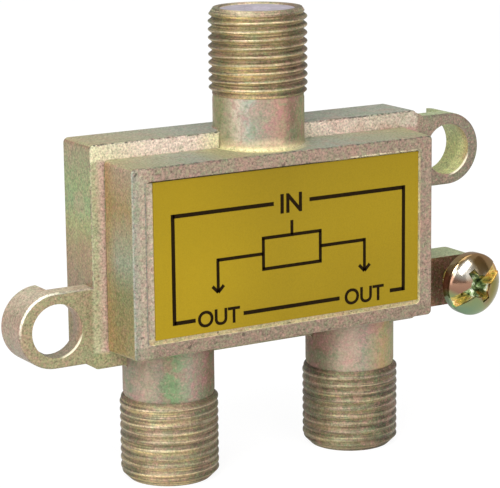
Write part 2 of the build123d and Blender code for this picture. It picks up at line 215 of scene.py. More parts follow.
tints = {
    "straw": (178, 168, 130), "olive": (144, 142, 102), "moss": (120, 142, 104), "sea": (96, 142, 112),
    "rose": (166, 128, 110), "rust": (138, 98, 66), "mist": (160, 164, 150), "cream": (234, 228, 188),
    "blush": (246, 224, 208), "clay": (170, 150, 132), "shell": (198, 184, 164), "umber": (112, 92, 72),
    "lime": (202, 206, 146), "leaf": (172, 184, 142), "ochre": (162, 138, 94), "stone": (142, 134, 118),
}
# Each face's stops mix chromate drift with painted light and shade: lighter on the rim front right of the upper neck
# where its shadow falls, cream at the right end of the recess floor as a painted glint, lime lifting the right ear's
# shaded walls, and around each neck a lighter band where the highlight falls and darker sides in shade
zoneStops = {
    "base": [(-24, "straw"), (-14, "leaf"), (-4, "shell"), (6, "mist"), (16, "clay"), (26, "straw")],
    "rimLeft": [(-9, "straw"), (-6, "ochre"), (-4, "rust"), (1, "rust"), (3, "olive"), (5, "sea"), (7, "moss"),
                (10.5, "rose")],
    "rimTop": [(-18, "straw"), (-7, "mist"), (17, "mist")],
    "rimFrontTop": [(-18, "cream"), (-12, "blush"), (-7, "blush"), (-5, "cream"), (8, "blush"), (17, "shell")],
    "rimFrontSide": [(-18.3, "leaf"), (-17.9, "leaf"), (-17.2, "shell"), (-16.9, "clay"), (18.3, "clay")],
    "blockLeft": [(-9, "ochre"), (-3, "olive"), (0, "mist"), (5, "ochre"), (9, "clay")],
    "blockTop": [(-16.5, "straw"), (-9, "mist"), (-6, "straw"), (6, "mist"), (16.5, "straw")],
    "rimFrontLow": [(-18.4, "olive"), (-13, "olive"), (18.4, "stone")],
    "recess": [(-15.3, "clay"), (-14.2, "shell"), (6, "shell"), (15, "cream")],
    "blockFront": [(-16.7, "mist"), (-15.8, "shell"), (-14.2, "clay"), (16.7, "clay")],
    "ear": [(-26, "straw"), (-19, "straw"), (18.5, "clay"), (26, "stone")],
    "earWall": [(-10, "stone"), (-5, "clay"), (-3, "shell"), (2.8, "lime"), (6.4, "lime"), (9, "leaf")],
    "neck": [(-4.43, "olive"), (-3.8, "shell"), (-3.1, "mist"), (-2.2, "stone"), (0, "rose"), (1.2, "umber"),
             (2.8, "olive"), (4.43, "moss")],
    "neckLeft": [(-4.43, "stone"), (-3.8, "clay"), (-2.8, "stone"), (-2.2, "moss"), (-1.5, "moss"), (0, "stone"),
                 (2.2, "umber"), (4.43, "umber")],
    "neckRight": [(-4.43, "umber"), (-3.1, "clay"), (-2.2, "clay"), (-1.1, "stone"), (1.2, "ochre"), (4.43, "moss")],
}
# Per-face brightness: painted light and shade for how light falls on each face
zoneGain = {
    "base": (0.9, 0.9, 0.8), "rimLeft": (0.69, 0.74, 0.64), "rimTop": (0.88, 0.89, 0.865),
    "rimFrontTop": (0.88, 0.89, 0.90), "rimFrontSide": (1.01, 0.86, 0.92), "blockLeft": (0.845, 0.865, 0.77),
    "blockTop": (0.78, 0.84, 0.82), "blockFront": (0.66, 0.634, 0.616), "ear": (0.615, 0.625, 0.58),
    "earWall": (0.95, 0.95, 0.90), "neck": (1.0, 1.0, 1.0), "neckLeft": (1.0, 1.0, 1.0),
    "neckRight": (1.0, 1.0, 1.0), "rimFrontLow": (1.0, 1.0, 1.0), "recess": (0.9, 0.9, 0.9),
}
chromate = {
    "metallic": 0.36,
    "roughness": (0.46, 0.60),
    "neckDull": 0.12,
    "wander": 1.0,
    "portBack": -5.15,
    "outputAcross": 10.4,
    # painted highlight on the upper neck's foot fillet
    "footHighlight": (216, 208, 158),
    # painted light on the upper neck just above its foot
    "footGlow": (226, 206, 168),
    "rootOrange": (166, 136, 84),
    # the lug's front: brown chromate, darkened as painted shade
    "lugBrownAndShade": (134, 98, 62),
    # painted shade along the block's top edge, a painted highlight on its upright edges
    "topEdgeShade": (78, 76, 70),
    "sideEdgeHighlight": (150, 152, 144),
    "edgeDull": (104, 96, 80),
    # painted highlight on the left ear's front edge, painted shade on the right ear's
    "earEdge": (250, 244, 222),
    "earEdgeShade": (112, 102, 88),
    # painted highlight on the ear holes' front edge at the lower right
    "holeGlint": (255, 244, 214),
    "holeOrange": (188, 136, 96),
    "lugTop": (172, 186, 142),
    # painted highlight on the recess walls and edges; painted shade in the gap above the label
    "recessGlint": (222, 212, 174),
    "recessShade": (84, 74, 48),
    "earHole": (22.2, 6.4, 2.575),
    "patchPink": (170, 128, 112),
    "patchGreen": (126, 142, 104),
    "stepLine": (112, 114, 106),
    "lowFront": (112, 100, 80),
    "barrelWash": (128, 118, 104),
    "neckPink": (158, 106, 108),
    "neckGreen": (92, 118, 84),
    "pitDark": (66, 58, 48),
    # painted shadow of the screw head on the lug
    "screwShadowOnLug": (74, 48, 30),
    # a dimmer painted highlight on the recess floor strip below the label
    "recessLowGlint": (186, 172, 134),
    # painted highlight on the barrels' mouth lip
    "lipHighlight": (206, 192, 160),
    "sparkPink": (220, 160, 152),
    "sparkGreen": (150, 180, 126),
}


def rampAlong(tree, place, zone):
    stops, gain = zoneStops[zone], zoneGain[zone]
    low, high = stops[0][0], stops[-1][0]
    return ramp(tree, spread(tree, place, low, high), [
        ((at - low) / (high - low), (*[min(part * share, 0.95) for part, share in zip(colour(*tints[tint]), gain)], 1.0))
        for at, tint in stops])


def invert(tree, value):
    return calculate(tree, "SUBTRACT", 1.0, value)


def both(tree, first, second):
    return calculate(tree, "MULTIPLY", first, second)


def castGrain(tree, place, tint, depth=1.0):
    patch = noise(tree, objectPlace(tree, shift=(3, 1, 7)), 0.42, detail=2.0, distort=0.9)
    tint = mixColour(tree, spread(tree, patch, 0.53, 0.68, 0.0, 0.30), tint, colour(*chromate["patchPink"]))
    tint = mixColour(tree, spread(tree, patch, 0.47, 0.32, 0.0, 0.30), tint, colour(*chromate["patchGreen"]))
    spark = noise(tree, place, 3.4, detail=2.0, rough=0.7)
    tint = mixColour(tree, spread(tree, spark, 0.50, 0.70, 0.0, 0.26), tint, colour(*chromate["sparkPink"]))
    tint = mixColour(tree, spread(tree, spark, 0.48, 0.30, 0.0, 0.26), tint, colour(*chromate["sparkGreen"]))
    grain = noise(tree, objectPlace(tree, shift=(5, 9, 2)), 4.6, detail=2.0, rough=0.75)
    speckle = ramp(tree, grain, [
        (0.30, (0.50, 0.49, 0.48, 1)), (0.42, (0.84, 0.84, 0.83, 1)), (0.54, (1.06, 1.06, 1.06, 1)),
        (0.70, (1.40, 1.39, 1.36, 1))])
    return mixColour(tree, depth, tint, speckle, "MULTIPLY"), grain


def lengthOf(tree, across, along):
    squares = calculate(tree, "ADD", calculate(tree, "POWER", across, 2.0), calculate(tree, "POWER", along, 2.0))
    return calculate(tree, "SQRT", squares)


def splitParts(tree, vector):
    node = tree.nodes.new("ShaderNodeSeparateXYZ")
    tree.links.new(vector, node.inputs["Vector"])
    return [node.outputs[axis] for axis in "XYZ"]


def castingMaterial():
    material, tree, shader = newMaterial("yellow chromated casting")
    place = objectPlace(tree)
    x, y, z = splitParts(tree, place)
    surface = tree.nodes.new("ShaderNodeNewGeometry")
    facingX, facingY, facingZ = splitParts(tree, surface.outputs["Normal"])
    sway = noise(tree, place, 0.33, detail=2.0, distort=0.6)
    wander = calculate(tree, "MULTIPLY", calculate(tree, "SUBTRACT", sway, 0.5), chromate["wander"])
    alongX = calculate(tree, "ADD", x, wander)
    alongZ = calculate(tree, "ADD", z, wander)

    top = spread(tree, facingZ, 0.6, 0.8)
    left = spread(tree, facingX, -0.6, -0.8)
    front = spread(tree, facingY, -0.6, -0.8)
    onBlock = spread(tree, y, -5.42, -5.52)
    onRim = invert(tree, onBlock)
    outside = spread(tree, calculate(tree, "ABSOLUTE", x), 18.3, 18.6)
    highUp = spread(tree, z, 9.0, 9.3)
    inRecess = both(tree, spread(tree, y, -10.36, -10.26), spread(tree, y, -9.9, -10.0))
    floor = both(tree, front, inRecess)

    tint = rampAlong(tree, alongX, "base")
    layers = [
        ("rimLeft", alongZ, both(tree, left, onRim)),
        ("rimTop", alongX, both(tree, top, onRim)),
        ("rimFrontSide", x, both(tree, front, onRim)),
        ("rimFrontTop", alongX, both(tree, both(tree, front, onRim), highUp)),
        ("rimFrontLow", alongX, both(tree, both(tree, front, onRim), spread(tree, z, -9.0, -9.3))),
        ("blockLeft", alongZ, both(tree, left, onBlock)),
        ("blockTop", alongX, both(tree, top, onBlock)),
        ("blockFront", x, both(tree, front, onBlock)),
        ("recess", x, floor),
        ("earWall", z, both(tree, outside, invert(tree, front))),
        ("ear", alongX, both(tree, front, outside)),
    ]
    for zone, along, mask in layers:
        tint = mixColour(tree, mask, tint, rampAlong(tree, along, zone))
    root = both(tree, both(tree, left, onBlock), spread(tree, calculate(tree, "ADD", y, wander), -7.4, -5.8, 0.0, 0.6))
    tint = mixColour(tree, root, tint, colour(*chromate["rootOrange"]))
    onLug = both(tree, spread(tree, x, 18.3, 18.7), spread(tree, z, -4.0, -4.3))
    # The lug's front: brown, darkened as painted shade
    tint = mixColour(tree, both(tree, onLug, front), tint, colour(*chromate["lugBrownAndShade"]))
    tint = mixColour(tree, both(tree, onLug, top), tint, colour(*chromate["lugTop"]))
    # Painted shadow of the screw head: the lug's front darkens towards the screw
    screwLow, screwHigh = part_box("ground_screw")
    fromScrew = lengthOf(
        tree, calculate(tree, "SUBTRACT", x, (screwLow.x + screwHigh.x) / 2 / mm),
        calculate(tree, "SUBTRACT", z, (screwLow.z + screwHigh.z) / 2 / mm))
    screwShadowMask = both(tree, both(tree, onLug, front), spread(tree, fromScrew, 4.5, 3.2, 0.0, 0.8))
    tint = mixColour(tree, screwShadowMask, tint, colour(*chromate["screwShadowOnLug"]))

    # Recess: painted highlights on the walls at the right and below and along the top edge at the right, a dimmer one
    # on the floor strip below the label, a grey line at the left step, painted shade in the gap above the label, and a
    # darker band low on the block front
    # A dimmer painted highlight on the floor strip below the label
    lowStrip = both(tree, onBlock, both(tree, floor, spread(tree, z, -7.2, -7.3)))
    tint = mixColour(tree, lowStrip, tint, colour(*chromate["recessLowGlint"]))
    facing = calculate(tree, "MAXIMUM", both(tree, left, spread(tree, x, 14, 15)), both(tree, top, spread(tree, z, -7, -7.5)))
    tint = mixColour(tree, both(tree, facing, onBlock), tint, colour(*chromate["recessGlint"]))
    column = both(tree, spread(tree, x, -15.46, -15.40), spread(tree, x, -15.26, -15.32))
    line = both(tree, both(tree, column, front), spread(tree, calculate(tree, "ABSOLUTE", z), 7.8, 7.6, 0.0, 0.8))
    tint = mixColour(tree, line, tint, colour(*chromate["stepLine"]))
    above = both(tree, floor, spread(tree, z, 7.5, 7.6))
    tint = mixColour(tree, both(tree, above, spread(tree, alongX, 7, 2)), tint, colour(*chromate["recessShade"]))
    # Painted highlight along the recess's top edge at the right, broken into glints
    glitter = spread(tree, noise(tree, place, 2.9, detail=2.0), 0.42, 0.54)
    edging = both(tree, both(tree, front, onBlock), both(tree, spread(tree, z, 7.7, 7.74), spread(tree, z, 7.9, 7.84)))
    edging = both(tree, edging, spread(tree, x, 15.4, 15.2, 0.0, 0.7))
    catching = both(tree, both(tree, calculate(tree, "ADD", above, edging), spread(tree, alongX, 4, 7)), glitter)
    tint = mixColour(tree, catching, tint, colour(*chromate["recessGlint"]))
    lowFront = both(tree, both(tree, front, onBlock), both(tree, spread(tree, z, -7.7, -7.9, 0.0, 0.4), invert(tree, floor)))
    tint = mixColour(tree, lowFront, tint, colour(*chromate["lowFront"]))

    # Ear holes: an orange rim inside and a painted highlight along the front edge at the lower right
    toRight = spread(tree, x, -0.1, 0.1, -1.0, 1.0)
    holeX, holeZ, holeRadius = chromate["earHole"]
    acrossHole = both(tree, toRight, calculate(tree, "SUBTRACT", calculate(tree, "ABSOLUTE", x), holeX))
    upHole = calculate(tree, "SUBTRACT", z, calculate(tree, "MULTIPLY", toRight, holeZ))
    fromHole = lengthOf(tree, acrossHole, upHole)
    inHole = both(tree, outside, spread(tree, fromHole, holeRadius + 0.4, holeRadius + 0.3))
    rust = both(tree, both(tree, inHole, invert(tree, front)), spread(tree, y, -4.2, -5.3, 0.0, 0.55))
    tint = mixColour(tree, both(tree, rust, spread(tree, upHole, -2.2, -1.0)), tint, colour(*chromate["holeOrange"]))
    slope = calculate(tree, "SUBTRACT", calculate(tree, "MULTIPLY", acrossHole, 0.66), calculate(tree, "MULTIPLY", upHole, 0.75))
    edgeRing = both(tree, inHole, spread(tree, fromHole, holeRadius + 0.17, holeRadius + 0.12))
    holeEdgeGlint = both(tree, both(tree, edgeRing, spread(tree, slope, 2.1, 2.5)), spread(tree, y, -5.15, -5.25))

    # Necks: distance from the nearest port's axis
    upper = spread(tree, z, -0.1, 0.1)
    outputX = calculate(tree, "SUBTRACT", calculate(tree, "ABSOLUTE", x), chromate["outputAcross"])
    lowerX = both(tree, outputX, toRight)
    fromAxis = calculate(tree, "ADD", both(tree, upper, x), both(tree, invert(tree, upper), lowerX))
    depth = calculate(tree, "SUBTRACT", y, chromate["portBack"])
    radius = lengthOf(tree, fromAxis, depth)
    beyond = spread(tree, calculate(tree, "ABSOLUTE", z), 9.1, 9.2)
    level = invert(tree, spread(tree, calculate(tree, "ABSOLUTE", facingZ), 0.3, 0.5))
    neck = both(tree, both(tree, beyond, level), spread(tree, radius, 4.62, 4.52))
    neckAlong = calculate(tree, "ADD", fromAxis, calculate(tree, "MULTIPLY", wander, 0.8))
    # Colour around each neck: chromate drift with painted light and shade, a lighter band where the highlight falls
    # and darker sides in shade
    lower = mixColour(
        tree, spread(tree, x, -0.1, 0.1), rampAlong(tree, neckAlong, "neckLeft"), rampAlong(tree, neckAlong, "neckRight"))
    tint = mixColour(tree, neck, tint, mixColour(tree, upper, lower, rampAlong(tree, neckAlong, "neck")))
    blotch = noise(tree, objectPlace(tree, shift=(1, 4, 2)), 0.6, detail=2.0, distort=1.0)
    tint = mixColour(tree, both(tree, neck, spread(tree, blotch, 0.53, 0.64, 0.0, 0.4)), tint, colour(*chromate["neckPink"]))
    tint = mixColour(tree, both(tree, neck, spread(tree, blotch, 0.46, 0.36, 0.0, 0.4)), tint, colour(*chromate["neckGreen"]))
    # Painted highlight along the upper neck's foot fillet on the block top, fading to the right
    low = both(tree, spread(tree, z, 9.0, 9.06), spread(tree, z, 9.62, 9.42))
    foot = both(tree, low, spread(tree, radius, 5.0, 4.86))
    fading = spread(tree, x, 0.3, 3.6, 1.0, 0.2)
    footLit = both(tree, both(tree, foot, onBlock), fading)
    tint = mixColour(tree, footLit, tint, colour(*chromate["footHighlight"]))
    # Painted light on the upper neck's lower part, just above its foot
    nearFoot = spread(tree, calculate(tree, "ADD", z, wander), 10.3, 9.7, 0.0, 0.55)
    glow = both(tree, both(tree, both(tree, neck, onBlock), fading), both(tree, upper, nearFoot))
    tint = mixColour(tree, glow, tint, colour(*chromate["footGlow"]))

    # Rounded edges: painted shade in grey dots along the block's top edge, a painted highlight along its upright ones,
    # darker dots along the rim's upright edges; on the ears' front edges painted shade at the right and a painted
    # highlight at the left
    upperEdge = spread(tree, calculate(tree, "MULTIPLY", facingZ, calculate(tree, "MULTIPLY", facingY, -1.0)), 0.12, 0.3)
    dots = spread(tree, noise(tree, place, 2.6, detail=2.0), 0.40, 0.56, 0.95, 0.25)
    onEdge = both(tree, upperEdge, invert(tree, foot))
    tint = mixColour(tree, both(tree, onEdge, dots), tint, colour(*chromate["topEdgeShade"]))
    sideEdge = spread(tree, calculate(tree, "MULTIPLY", facingX, facingY), 0.2, 0.4)
    onFace = both(tree, invert(tree, beyond), spread(tree, onBlock, 0, 1, 0.0, 0.6))
    tint = mixColour(tree, both(tree, sideEdge, onFace), tint, colour(*chromate["sideEdgeHighlight"]))
    rimEdge = both(tree, both(tree, sideEdge, onRim), invert(tree, outside))
    tint = mixColour(tree, both(tree, rimEdge, dots), tint, colour(*chromate["edgeDull"]))
    # Ears' front edges: painted shade on the right ear, a painted highlight on the left one
    slant = both(tree, spread(tree, facingY, -0.97, -0.90), spread(tree, facingY, -0.20, -0.35))
    earEdge = both(tree, slant, outside)
    onRight = spread(tree, x, -0.1, 0.1)
    shaded = both(tree, earEdge, calculate(tree, "MULTIPLY", onRight, 0.7))
    tint = mixColour(tree, shaded, tint, colour(*chromate["earEdgeShade"]))
    bright = both(tree, both(tree, earEdge, invert(tree, onRight)), spread(tree, facingZ, -0.1, 0.25))
    bright = both(tree, bright, spread(tree, x, -21.2, -23.4, 0.2, 1.0))
    tint = mixColour(tree, bright, tint, colour(*chromate["earEdge"]))

    tint, grain = castGrain(tree, place, tint, invert(tree, calculate(tree, "MULTIPLY", neck, 0.5)))
    specks = both(tree, spread(tree, noise(tree, objectPlace(tree, shift=(2, 6, 8)), 1.5, detail=1.0), 0.70, 0.74, 0.0, 0.7), both(
        tree, both(tree, front, onBlock), invert(tree, beyond)))
    tint = mixColour(tree, specks, tint, colour(*chromate["pitDark"]))
    # Painted highlight on the ear holes' edge
    tint = mixColour(tree, holeEdgeGlint, tint, colour(*chromate["holeGlint"]))
    tree.links.new(tint, shader.inputs["Base Color"])
    aside = calculate(tree, "ABSOLUTE", calculate(tree, "ADD", neckAlong, 2.1))
    film = both(tree, both(tree, both(tree, neck, invert(tree, upper)), invert(tree, onRight)), spread(tree, aside, 1.2, 0.5))
    tree.links.new(spread(tree, film, 0.0, 1.0, chromate["metallic"], 0.66), shader.inputs["Metallic"])
    gloss = spread(tree, noise(tree, place, 0.8), 0.3, 0.7, *chromate["roughness"])
    gloss = calculate(tree, "ADD", gloss, calculate(tree, "MULTIPLY", neck, chromate["neckDull"]))
    tree.links.new(gloss, shader.inputs["Roughness"])
    pits = spread(tree, noise(tree, place, 2.2, detail=4.0, rough=0.65), 0.2, 0.8)
    bumpFrom(tree, shader, [grain, pits], 0.034 * mm)
    return material


# The same finish on the barrels: thin crests with a painted highlight over khaki, slightly darker roots as painted
# shade

threadStops = [
    (0.0, (130, 117, 80)), (0.5, (137, 124, 85)), (0.86, (146, 132, 94)), (0.96, (178, 164, 128)),
    (1.0, (196, 182, 148)),
]
# Per-port brightness: painted shade, darker copies of the same thread finish
threadGain = {"in": 0.76, "out_left": 0.60, "out_right": 0.37}
threadWash = {"in": 0.04, "out_left": 0.16, "out_right": 0.10}
# Painted reflection: light and dark bands across each barrel at fixed places, with a warmth factor
barrelReflectionBands = [
    (0.0, 0.74, 1.05), (0.11, 0.74, 1.0), (0.20, 1.12, 0.96), (0.32, 1.55, 1.1), (0.52, 1.04, 1.02),
    (0.68, 1.0, 0.98), (0.82, 0.54, 1.0), (0.93, 0.68, 1.05), (1.0, 0.8, 1.1),
]


def barrelMaterial(name, centreX, centreY, root, gain, washed):
    material, tree, shader = newMaterial(name)
    place = objectPlace(tree)
    x, y, z = splitParts(tree, place)
    acrossX = calculate(tree, "SUBTRACT", x, centreX / mm)
    acrossY = calculate(tree, "SUBTRACT", y, centreY / mm)
    radius = lengthOf(tree, acrossX, acrossY)
    height = spread(tree, radius, root / mm, barrel["crestRadius"] / mm - 0.02)
    breaks = calculate(tree, "SUBTRACT", noise(tree, place, 1.5, detail=2.0, rough=0.7), 0.5)
    crested = calculate(tree, "ADD", height, calculate(tree, "MULTIPLY", breaks, 0.42))
    # Painted highlight on the crests, slightly darker roots as painted shade
    shade = ramp(tree, crested, [(at, colour(*rgb)) for at, rgb in threadStops])
    drift = noise(tree, place, 0.5, detail=2.0, distort=0.8)
    cast = ramp(tree, drift, [
        (0.32, colour(140, 150, 110)), (0.48, colour(176, 158, 108)), (0.60, colour(178, 142, 116)),
        (0.72, colour(150, 138, 92))])
    tint = mixColour(tree, 0.34, shade, cast)
    surface = tree.nodes.new("ShaderNodeNewGeometry")
    rising = splitParts(tree, surface.outputs["Normal"])[2]
    # Painted light: flanks facing down made lighter, flanks facing up darker
    flankPaintedLight = ramp(tree, spread(tree, rising, -0.7, 0.7), [
        (0.0, (2.1, 2.1, 2.05, 1)), (0.35, (1.4, 1.4, 1.4, 1)), (1.0, (0.76, 0.76, 0.78, 1))])
    tint = mixColour(tree, 1.0, tint, flankPaintedLight, "MULTIPLY")
    # Painted highlight on the mouth lip
    lip = spread(tree, calculate(tree, "ABSOLUTE", z), mouthHeight / mm - 0.5, mouthHeight / mm - 0.3, 0.0, 0.55)
    tint = mixColour(tree, lip, tint, colour(*chromate["lipHighlight"]))
    streaks = noise(tree, objectPlace(tree, scale=(120, 120, 5200)), 1.0, detail=2.0, rough=0.7)
    tooled = ramp(tree, streaks, [
        (0.36, (0.40, 0.39, 0.37, 1)), (0.45, (0.76, 0.75, 0.73, 1)), (0.52, (1.0, 1.0, 0.98, 1)),
        (0.58, (1.35, 1.33, 1.27, 1)), (0.66, (2.1, 2.05, 1.95, 1))])
    tint = mixColour(tree, 1.0, tint, tooled, "MULTIPLY")
    # Painted reflection bands across the barrel, times the port's painted shade
    sideways = calculate(tree, "SUBTRACT", calculate(tree, "MULTIPLY", acrossX, 0.86), calculate(tree, "MULTIPLY", acrossY, 0.51))
    reflectionBandsAndShade = ramp(tree, spread(tree, sideways, -4.76, 4.76), [
        (at, (share * gain, share * gain, share * gain * warm, 1)) for at, share, warm in barrelReflectionBands])
    tint = mixColour(tree, 1.0, tint, reflectionBandsAndShade, "MULTIPLY")
    tint, grain = castGrain(tree, place, tint)
    tint = mixColour(tree, washed, tint, colour(*chromate["barrelWash"]))
    tree.links.new(tint, shader.inputs["Base Color"])
    shader.inputs["Metallic"].default_value = 0.5
    gloss = spread(tree, height, 0.0, 1.0, 0.58, 0.42)
    tree.links.new(gloss, shader.inputs["Roughness"])
    bumpFrom(tree, shader, [grain, streaks], 0.03 * mm)
    return material


def labelMaterial():
    material, tree, shader = newMaterial("mustard label")
    place = objectPlace(tree)
    drift = noise(tree, place, 0.06, detail=1.0)
    tint = ramp(tree, drift, [
        (0.35, colour(140, 118, 8)), (0.5, colour(145, 121, 9)), (0.65, colour(149, 125, 11)),
    ])
    x, y, z = splitParts(tree, place)
    across = ramp(tree, spread(tree, x, -15, 15), [
        (at, (share, share, share, 1)) for at, share in ((0.0, 1.14), (0.15, 1.12), (0.5, 0.90), (0.85, 0.96), (1.0, 0.97))])
    upward = ramp(tree, spread(tree, z, -8, 8), [
        (at, (share, share, share, 1)) for at, share in ((0.0, 1.02), (0.55, 1.0), (1.0, 0.88))])
    tint = mixColour(tree, 1.0, mixColour(tree, 1.0, tint, across, "MULTIPLY"), upward, "MULTIPLY")
    fleck = noise(tree, place, 9.0, detail=1.0, rough=0.6)
    speckle = ramp(tree, fleck, [(0.35, (0.94, 0.94, 0.94, 1)), (0.6, (1.03, 1.03, 1.03, 1))])
    tint = mixColour(tree, 1.0, tint, speckle, "MULTIPLY")
    tree.links.new(tint, shader.inputs["Base Color"])
    shader.inputs["Metallic"].default_value = 0.1
    shader.inputs["Specular IOR Level"].default_value = 0.2
    gloss = spread(tree, noise(tree, place, 1.2), 0.3, 0.7, 0.48, 0.56)
    tree.links.new(gloss, shader.inputs["Roughness"])
    bumpFrom(tree, shader, [fleck], 0.004 * mm)
    return material


def inkMaterial():
    material, tree, shader = newMaterial("label ink")
    place = objectPlace(tree)
    fleck = noise(tree, place, 7.0, detail=2.0)
    tint = ramp(tree, fleck, [(0.3, colour(20, 12, 0)), (0.7, colour(34, 22, 4))])
    tree.links.new(tint, shader.inputs["Base Color"])
    shader.inputs["Specular IOR Level"].default_value = 0.05
    gloss = spread(tree, fleck, 0.3, 0.7, 0.5, 0.6)
    tree.links.new(gloss, shader.inputs["Roughness"])
    return material


screwStops = [
    (0.0, (116, 138, 110)), (0.22, (128, 140, 98)), (0.34, (138, 104, 86)), (0.50, (150, 116, 94)),
    (0.66, (178, 164, 138)), (0.84, (164, 140, 94)), (1.0, (178, 140, 100)),
]
# Slot: gold streaks, with painted glints in the brightest
slotStops = [
    (0.32, (96, 100, 54)), (0.42, (166, 156, 84)), (0.50, (210, 190, 106)), (0.56, (166, 120, 62)),
    (0.66, (250, 240, 184)),
]
# Well: green, with painted shade in the darkest patches and painted white glints
wellStops = [
    (0.34, (56, 72, 40)), (0.45, (106, 126, 82)), (0.54, (160, 178, 128)), (0.64, (240, 246, 228)),
]
screwHead = {
    "khaki": (124, 116, 54),
    # painted highlight: a pale patch where the lamps' reflections fall on the dome
    "pale": (212, 206, 194),
    "wellRadius": 1.3 * mm,
    "wellBottom": 0.4 * mm,
    "wellDepth": 1.8 * mm,
    # painted highlight along the rims of the slot and the well
    "edge": (248, 226, 190),
}


def screwMaterial():
    material, tree, shader = newMaterial("yellow passivated screw")
    place = objectPlace(tree)
    x, y, z = splitParts(tree, place)
    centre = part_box("ground_screw")
    middle = (centre[0] + centre[1]) / 2 / mm
    acrossX = calculate(tree, "SUBTRACT", x, middle.x)
    acrossZ = calculate(tree, "SUBTRACT", z, middle.z)
    sway = calculate(tree, "SUBTRACT", noise(tree, place, 0.5, detail=1.5, distort=0.6), 0.5)
    slope = calculate(tree, "ADD", calculate(tree, "MULTIPLY", acrossX, 0.35), acrossZ)
    along = calculate(tree, "ADD", slope, calculate(tree, "MULTIPLY", sway, 2.4))
    tint = ramp(tree, spread(tree, along, -3.1, 3.1), [(at, colour(*rgb)) for at, rgb in screwStops])
    depth = calculate(tree, "SUBTRACT", y, centre[0].y / mm)
    reach = lengthOf(tree, acrossX, acrossZ)
    dome = calculate(tree, "MULTIPLY", calculate(tree, "POWER", reach, 2.0), 0.1206)
    below = calculate(tree, "SUBTRACT", depth, dome)
    inHead = spread(tree, reach, 3.0, 2.9)
    inSlot = both(tree, inHead, spread(tree, below, 0.12, 0.20))
    # Painted highlight along the rims of the slot and the well
    edge = both(tree, inHead, spread(tree, below, 0.02, 0.05))
    streaks = noise(tree, objectPlace(tree, scale=(700, 900, 3600), turn=(0, radians(40), 0)), 0.8, detail=2.0)
    khaki = both(tree, spread(tree, acrossX, 0.7, 1.6), spread(tree, acrossZ, 1.2, 0.2))
    tint = mixColour(tree, khaki, tint, colour(*screwHead["khaki"]))
    # Painted highlight: a pale patch on the dome's upper left
    fromHighlightPatch = lengthOf(tree, calculate(tree, "ADD", acrossX, 1.8), calculate(tree, "SUBTRACT", acrossZ, 2.1))
    pale = both(tree, inHead, spread(tree, fromHighlightPatch, 1.5, 0.8, 0.0, 0.9))
    tint = mixColour(tree, pale, tint, colour(*screwHead["pale"]))
    tint = mixColour(tree, edge, tint, colour(*screwHead["edge"]))
    # Slot: gold streaks, with painted glints in the brightest
    tint = mixColour(tree, inSlot, tint, ramp(tree, streaks, [(at, colour(*rgb)) for at, rgb in slotStops]))
    # Well: green, with painted shade and painted white glints
    swirl = noise(tree, place, 1.5, detail=2.0, distort=0.8)
    inWell = both(tree, inSlot, spread(tree, reach, 1.35, 1.15))
    tint = mixColour(tree, inWell, tint, ramp(tree, swirl, [(at, colour(*rgb)) for at, rgb in wellStops]))
    fine = noise(tree, place, 8.0, detail=2.0)
    tree.links.new(tint, shader.inputs["Base Color"])
    tree.links.new(spread(tree, inSlot, 0.0, 1.0, 1.0, 0.62), shader.inputs["Metallic"])
    gloss = calculate(tree, "ADD", spread(tree, fine, 0.3, 0.7, 0.09, 0.16), calculate(tree, "MULTIPLY", inSlot, 0.16))
    tree.links.new(gloss, shader.inputs["Roughness"])
    bumpFrom(tree, shader, [fine], 0.004 * mm)
    return material


def plainFinish(name, first, second, metallic, roughness, scale, depth):
    material, tree, shader = newMaterial(name)
    place = objectPlace(tree)
    cloud = noise(tree, place, scale, detail=3.0)
    tint = ramp(tree, cloud, [(0.35, first), (0.65, second)])
    tree.links.new(tint, shader.inputs["Base Color"])
    shader.inputs["Metallic"].default_value = metallic
    gloss = spread(tree, cloud, 0.3, 0.7, roughness - 0.05, roughness + 0.06)
    tree.links.new(gloss, shader.inputs["Roughness"])
    bumpFrom(tree, shader, [noise(tree, place, scale * 6)], depth)
    return material


castingFinish = castingMaterial()
labelFinish = labelMaterial()
inkFinish = inkMaterial()
screwFinish = screwMaterial()
insulatorFinish = plainFinish(
    "pale insulator", colour(146, 138, 146), colour(172, 164, 174), 0.0, 0.5, 1.1, 0.02 * mm)
coverFinish = plainFinish(
    "tinned cover", colour(168, 168, 160), colour(190, 188, 180), 0.85, 0.38, 0.25, 0.01 * mm)
sealFinish = plainFinish(
    "sealing bead", colour(120, 120, 112), colour(146, 144, 134), 0.0, 0.6, 0.5, 0.03 * mm)
bronzeFinish = plainFinish(
    "tinned bronze", colour(190, 176, 140), colour(206, 196, 168), 0.9, 0.3, 0.8, 0.004 * mm)
laminateFinish = plainFinish(
    "board laminate", colour(150, 138, 84), colour(170, 158, 104), 0.0, 0.4, 0.5, 0.006 * mm)
ferriteFinish = plainFinish(
    "ferrite", colour(46, 46, 50), colour(64, 63, 66), 0.0, 0.55, 1.6, 0.01 * mm)
wireFinish = plainFinish(
    "enamelled wire", colour(160, 76, 42), colour(186, 98, 58), 0.6, 0.28, 1.2, 0.003 * mm)
bodyFinish = plainFinish(
    "component lacquer", colour(190, 168, 122), colour(206, 186, 146), 0.0, 0.35, 0.9, 0.004 * mm)
discFinish = plainFinish(
    "disc lacquer", colour(182, 112, 48), colour(200, 130, 62), 0.0, 0.3, 0.9, 0.006 * mm)
solderFinish = plainFinish(
    "solder", colour(176, 176, 178), colour(200, 200, 202), 0.95, 0.22, 1.4, 0.004 * mm)
print("materials made")


# Barrels: a right-hand thread that runs out of the neck and into the mouth's chamfer

